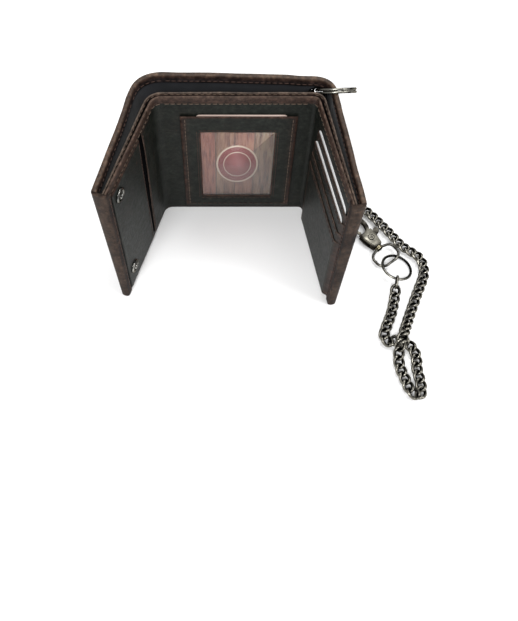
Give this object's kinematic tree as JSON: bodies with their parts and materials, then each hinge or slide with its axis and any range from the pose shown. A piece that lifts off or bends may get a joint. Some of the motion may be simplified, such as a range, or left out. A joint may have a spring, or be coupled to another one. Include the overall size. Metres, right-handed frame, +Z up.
{
  "type": "chain wallet",
  "caption": "Tri-fold leather wallet with snap fastening, card slots and a window pocket, with a curb chain and a trigger snap hook.",
  "frame": {"origin": "middle of the back panel's inner leather on the bottom edge, which the wallet stands on", "axes": "+X along the back panel towards the chain, +Y from the inside of the wallet to its back, +Z up to the open top edge"},
  "size_m": [0.1939, 0.155, 0.1134],
  "materials": {
    "outer_leather": "pull-up leather with worn brown edges",
    "lining_cloth": "matt navy-black lining",
    "divider_leather": "smooth",
    "inner_leather": "smooth, low sheen",
    "edge_leather": "worn brown",
    "window_film": "clear film",
    "insert_print": "printed card",
    "card_white": "plain card",
    "snap_metal": "antique",
    "snap_inner_metal": "satin",
    "ring_metal": "polished, gunmetal tone",
    "chain_metal": "polished, gunmetal tone",
    "hook_metal": "cast, antique nickel",
    "spring_wire": "bright"
  },
  "bodies": {
    "wallet_back": {"shell_back": "outer_leather", "lining_back": "lining_cloth", "bill_divider_back": "divider_leather", "inner_back_panel": "inner_leather", "bottom_seam_back": "divider_leather", "id_pocket_frame": "inner_leather", "id_window": "window_film", "id_insert_card": "insert_print", "shell_fold_left": "outer_leather", "lining_fold_left": "lining_cloth", "divider_fold_left": "divider_leather", "inner_fold_left": "inner_leather", "shell_fold_right": "outer_leather", "lining_fold_right": "lining_cloth", "divider_fold_right": "divider_leather", "inner_fold_right": "inner_leather", "eyelet": "snap_inner_metal", "eyelet_washer": "snap_inner_metal", "wallet_ring": "ring_metal", "chain_links": "chain_metal", "end_link_wallet": "chain_metal", "end_link_hook": "chain_metal", "hook_ring": "ring_metal", "swivel_eye": "ring_metal"},
    "flap": {"shell_flap": "outer_leather", "lining_flap": "lining_cloth", "divider_flap": "divider_leather", "inner_flap": "inner_leather", "bottom_seam_flap": "divider_leather", "edge_binding_flap": "edge_leather", "flap_plate": "inner_leather", "flap_coin_strip": "inner_leather", "snap_cap_bottom": "snap_metal", "snap_cap_top": "snap_metal", "snap_socket_bottom": "snap_inner_metal", "snap_socket_top": "snap_inner_metal"},
    "card_panel": {"shell_card_side": "outer_leather", "lining_card_side": "lining_cloth", "divider_card_side": "divider_leather", "inner_card_side": "inner_leather", "bottom_seam_card_side": "divider_leather", "edge_binding_card_side": "edge_leather", "card_slot_1": "inner_leather", "card_slot_2": "inner_leather", "card_slot_3": "inner_leather", "card_pocket": "inner_leather", "card_1": "card_white", "card_2": "card_white", "snap_stud_bottom": "snap_inner_metal", "snap_stud_top": "snap_inner_metal"},
    "hook": {"hook_body": "hook_metal", "hook_rivet": "hook_metal", "trigger_spring": "spring_wire"},
    "trigger": {"hook_trigger": "hook_metal"}
  },
  "joints": [
    {"name": "flap_fold", "type": "hinge", "parent": "wallet_back", "child": "flap", "pos_m": [-0.04011, -0.0058, 0], "axis": [0, 0, 1], "range_deg": [-72.4, 101.4], "deforming": ["shell_fold_left", "lining_fold_left", "divider_fold_left", "inner_fold_left"]},
    {"name": "card_panel_fold", "type": "hinge", "parent": "wallet_back", "child": "card_panel", "pos_m": [0.04218, -0.0026, 0], "axis": [0, 0, -1], "range_deg": [-25, 100.3], "deforming": ["shell_fold_right", "lining_fold_right", "divider_fold_right", "inner_fold_right"]},
    {"name": "hook_swivel", "type": "hinge", "parent": "wallet_back", "child": "hook", "pos_m": [0.0869, -0.0263, 0.0031], "axis": [0.5821, -0.8131, 0], "continuous": true},
    {"name": "trigger_pivot", "type": "hinge", "parent": "hook", "child": "trigger", "pos_m": [0.0869, -0.0263, 0.0031], "axis": [0, 0, -1], "range_deg": [0, 13], "stiffness_Nm_per_rad": 0.003}
  ]
}
